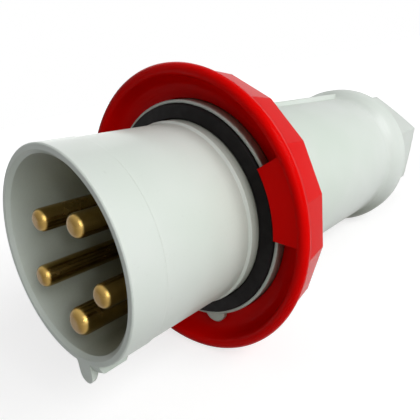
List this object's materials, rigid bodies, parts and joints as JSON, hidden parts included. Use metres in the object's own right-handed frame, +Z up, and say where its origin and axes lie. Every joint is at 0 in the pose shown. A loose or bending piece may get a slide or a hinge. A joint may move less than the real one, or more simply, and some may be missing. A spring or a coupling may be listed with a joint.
{
  "type": "industrial pin and sleeve plug",
  "caption": "Heavy-duty industrial power plug: round shrouded contact pins, keyed sleeve, red bayonet locking ring, hollow cylindrical rear housing and hexagonal cable gland.",
  "frame": {"origin": "on the floor, in the middle of the box round the plug as it lies", "axes": "+X from the mouth towards the cable end along the floor, +Z up, key at the bottom; the plug's own axis leans 6.97 degrees nose-up"},
  "size_m": [0.2506, 0.115, 0.1142],
  "materials": {
    "shell": "light grey moulded polyamide, satin gloss",
    "gland": "light grey moulded polyamide",
    "ring": "red moulded polyamide, glossy",
    "insert": "dark thermoset",
    "pins": "turned brass, lightly tarnished",
    "screws": "zinc plated",
    "seal": "black rubber",
    "nylon": "natural nylon"
  },
  "bodies": {
    "plug_body": {"front_shell": "shell", "contact_carrier": "insert", "pin_l1": "pins", "pin_l2": "pins", "pin_l3": "pins", "pin_neutral": "pins", "pin_earth": "pins", "live_terminal_screws": "screws", "earth_terminal_screws": "screws", "retainer_plate": "insert", "retainer_screws": "screws", "sealing_gasket": "seal", "housing_seal": "seal", "rear_housing": "shell", "housing_lock_screws": "screws", "gland_seal": "seal"},
    "locking_ring": {"locking_ring": "ring"},
    "gland_follower": {"thrust_washer": "nylon", "clamp_cage": "nylon"},
    "gland_nut": {"gland_nut": "gland"}
  },
  "joints": [
    {"name": "ring_turn", "type": "hinge", "parent": "plug_body", "child": "locking_ring", "pos_m": [-0.05552, 0, 0.05572], "axis": [0.9926, 0, -0.1213], "range_deg": [-45, 0]},
    {"name": "gland_advance", "type": "slide", "parent": "plug_body", "child": "gland_follower", "axis": [0.9926, 0, -0.1213], "range_m": [0, 0.003]},
    {"name": "gland_nut_turn", "type": "hinge", "parent": "gland_follower", "child": "gland_nut", "pos_m": [0.09833, 0, 0.03691], "axis": [0.9926, 0, -0.1213], "range_deg": [0, 720]}
  ],
  "couplings": [
    {"joint": "gland_advance", "follows": "gland_nut_turn", "m_per_rad": 0.00023873}
  ]
}
